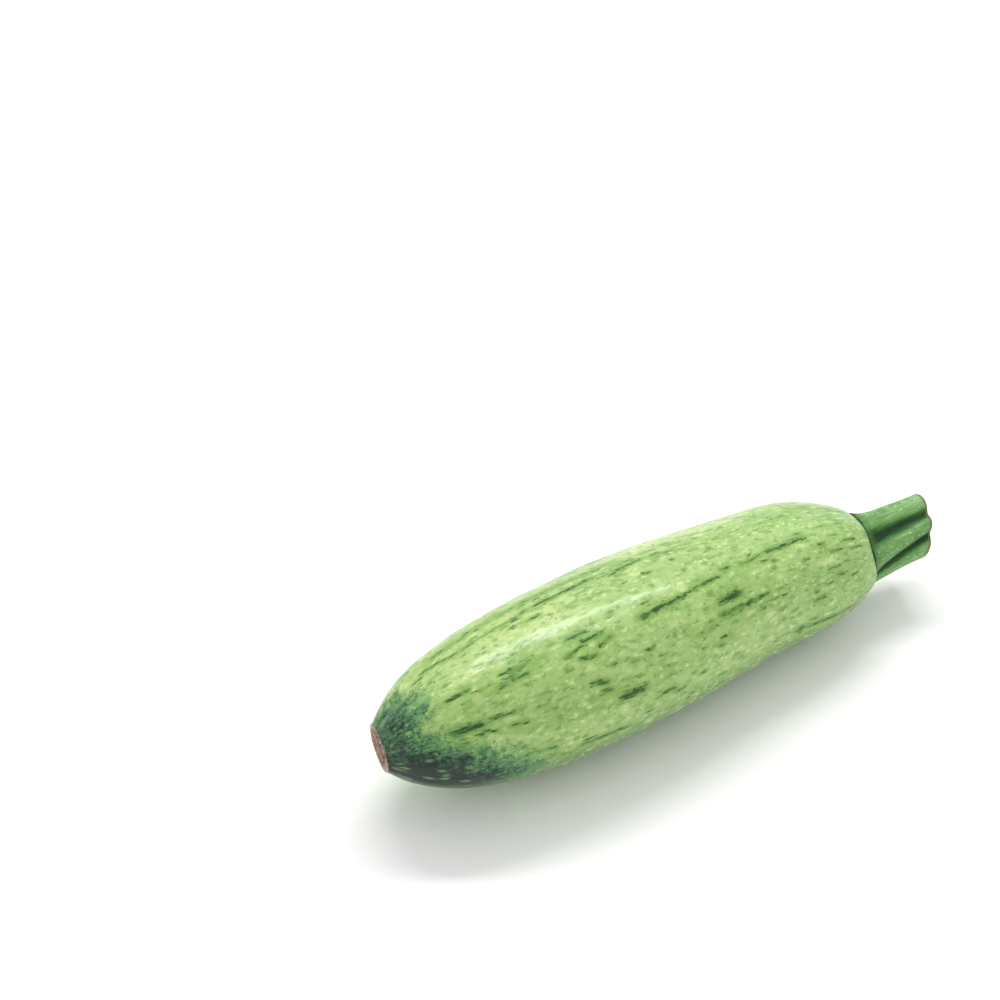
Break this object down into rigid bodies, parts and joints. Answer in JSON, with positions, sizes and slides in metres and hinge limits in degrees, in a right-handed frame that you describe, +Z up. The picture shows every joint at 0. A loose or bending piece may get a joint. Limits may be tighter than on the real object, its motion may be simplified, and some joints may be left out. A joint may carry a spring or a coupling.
{
  "type": "zucchini",
  "caption": "Pale green club-shaped summer squash, picked with a short grooved stem, lying on its flattened belly.",
  "frame": {"origin": "on the surface the zucchini lies on, under the middle of its bounding box", "axes": "+X along the fruit from the blossom end to the cut stem, +Z up, so the belly faces -Z"},
  "size_m": [0.1918, 0.0524, 0.0486],
  "materials": {
    "skin": "satin",
    "stem_rind": "matte"
  },
  "bodies": {
    "root": {"fruit": "skin", "stem": "stem_rind"}
  },
  "joints": []
}
